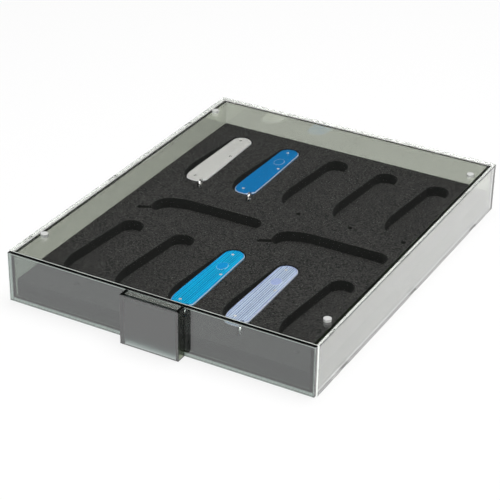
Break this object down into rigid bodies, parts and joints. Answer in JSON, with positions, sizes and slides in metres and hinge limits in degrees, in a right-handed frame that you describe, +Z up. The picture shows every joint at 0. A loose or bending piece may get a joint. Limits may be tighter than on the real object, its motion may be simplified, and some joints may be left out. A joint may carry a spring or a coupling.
{
  "type": "knife display case",
  "caption": "Low display case with a clear hood, a smoke-tinted pull-out drawer and a die-cut foam insert that holds small folding knives.",
  "frame": {"origin": "on the surface the case stands on, midway between the handle and the back wall and midway between the sides", "axes": "+X to the right seen from the handle side, +Y from the handle to the back wall, +Z up"},
  "size_m": [0.236, 0.303, 0.0398],
  "materials": {
    "clear_plastic": "clear, glossy",
    "smoke_plastic": "smoke tint, see-through, glossy",
    "black_foam": "fine closed-cell foam, matt",
    "steel": "polished stainless",
    "silver_aluminium": "satin, clear anodised",
    "blue_aluminium": "satin, blue anodised",
    "azure_aluminium": "ribbed, light blue anodised",
    "lilac_aluminium": "ribbed, pale lilac anodised"
  },
  "bodies": {
    "case": {"hood": "clear_plastic", "base_plate": "clear_plastic"},
    "drawer": {"drawer_tray": "smoke_plastic", "front_panel": "smoke_plastic", "pull_handle": "smoke_plastic", "foam_backing": "black_foam", "foam_insert": "black_foam"},
    "silver_knife": {"silver_knife_lower_scale": "silver_aluminium", "silver_knife_tool_spring": "steel", "silver_knife_cap_lifter": "steel", "silver_knife_can_opener": "steel", "silver_knife_liner": "steel", "silver_knife_blade_spring": "steel", "silver_knife_blade": "steel", "silver_knife_upper_scale": "silver_aluminium", "silver_knife_top_rivet": "steel", "silver_knife_spring_rivet": "steel", "silver_knife_low_rivet": "steel"},
    "silver_key_ring": {"silver_knife_key_ring": "steel"},
    "blue_knife": {"blue_knife_lower_scale": "blue_aluminium", "blue_knife_tool_spring": "steel", "blue_knife_cap_lifter": "steel", "blue_knife_can_opener": "steel", "blue_knife_liner": "steel", "blue_knife_blade_spring": "steel", "blue_knife_blade": "steel", "blue_knife_upper_scale": "blue_aluminium", "blue_knife_top_rivet": "steel", "blue_knife_spring_rivet": "steel", "blue_knife_low_rivet": "steel"},
    "blue_key_ring": {"blue_knife_key_ring": "steel"},
    "azure_knife": {"azure_knife_lower_scale": "azure_aluminium", "azure_knife_tool_spring": "steel", "azure_knife_cap_lifter": "steel", "azure_knife_can_opener": "steel", "azure_knife_liner": "steel", "azure_knife_blade_spring": "steel", "azure_knife_blade": "steel", "azure_knife_upper_scale": "azure_aluminium", "azure_knife_top_rivet": "steel", "azure_knife_spring_rivet": "steel", "azure_knife_low_rivet": "steel"},
    "azure_key_ring": {"azure_knife_key_ring": "steel"},
    "lilac_knife": {"lilac_knife_lower_scale": "lilac_aluminium", "lilac_knife_tool_spring": "steel", "lilac_knife_cap_lifter": "steel", "lilac_knife_can_opener": "steel", "lilac_knife_liner": "steel", "lilac_knife_blade_spring": "steel", "lilac_knife_blade": "steel", "lilac_knife_upper_scale": "lilac_aluminium", "lilac_knife_top_rivet": "steel", "lilac_knife_spring_rivet": "steel", "lilac_knife_low_rivet": "steel"},
    "lilac_key_ring": {"lilac_knife_key_ring": "steel"}
  },
  "joints": [
    {"name": "drawer_slide", "type": "slide", "parent": "case", "child": "drawer", "axis": [0, -1, 0], "range_m": [0, 0.25]},
    {"name": "silver_knife_lift", "type": "slide", "parent": "drawer", "child": "silver_knife", "axis": [0, 0, 1], "range_m": [0, 0.012]},
    {"name": "silver_key_ring_turn", "type": "hinge", "parent": "silver_knife", "child": "silver_key_ring", "pos_m": [-0.07835, 0.0485, 0.0131], "axis": [-0.9272, -0.3746, 0], "range_deg": [0, 18]},
    {"name": "blue_knife_lift", "type": "slide", "parent": "drawer", "child": "blue_knife", "axis": [0, 0, 1], "range_m": [0, 0.012]},
    {"name": "blue_key_ring_turn", "type": "hinge", "parent": "blue_knife", "child": "blue_key_ring", "pos_m": [-0.03615, 0.0485, 0.0131], "axis": [-0.9272, -0.3746, 0], "range_deg": [0, 18]},
    {"name": "azure_knife_lift", "type": "slide", "parent": "drawer", "child": "azure_knife", "axis": [0, 0, 1], "range_m": [0, 0.012]},
    {"name": "azure_key_ring_turn", "type": "hinge", "parent": "azure_knife", "child": "azure_key_ring", "pos_m": [0.00605, -0.1131, 0.0131], "axis": [-0.9272, -0.3746, 0], "range_deg": [0, 18]},
    {"name": "lilac_knife_lift", "type": "slide", "parent": "drawer", "child": "lilac_knife", "axis": [0, 0, 1], "range_m": [0, 0.012]},
    {"name": "lilac_key_ring_turn", "type": "hinge", "parent": "lilac_knife", "child": "lilac_key_ring", "pos_m": [0.04825, -0.1131, 0.0131], "axis": [-0.9272, -0.3746, 0], "range_deg": [0, 18]}
  ]
}
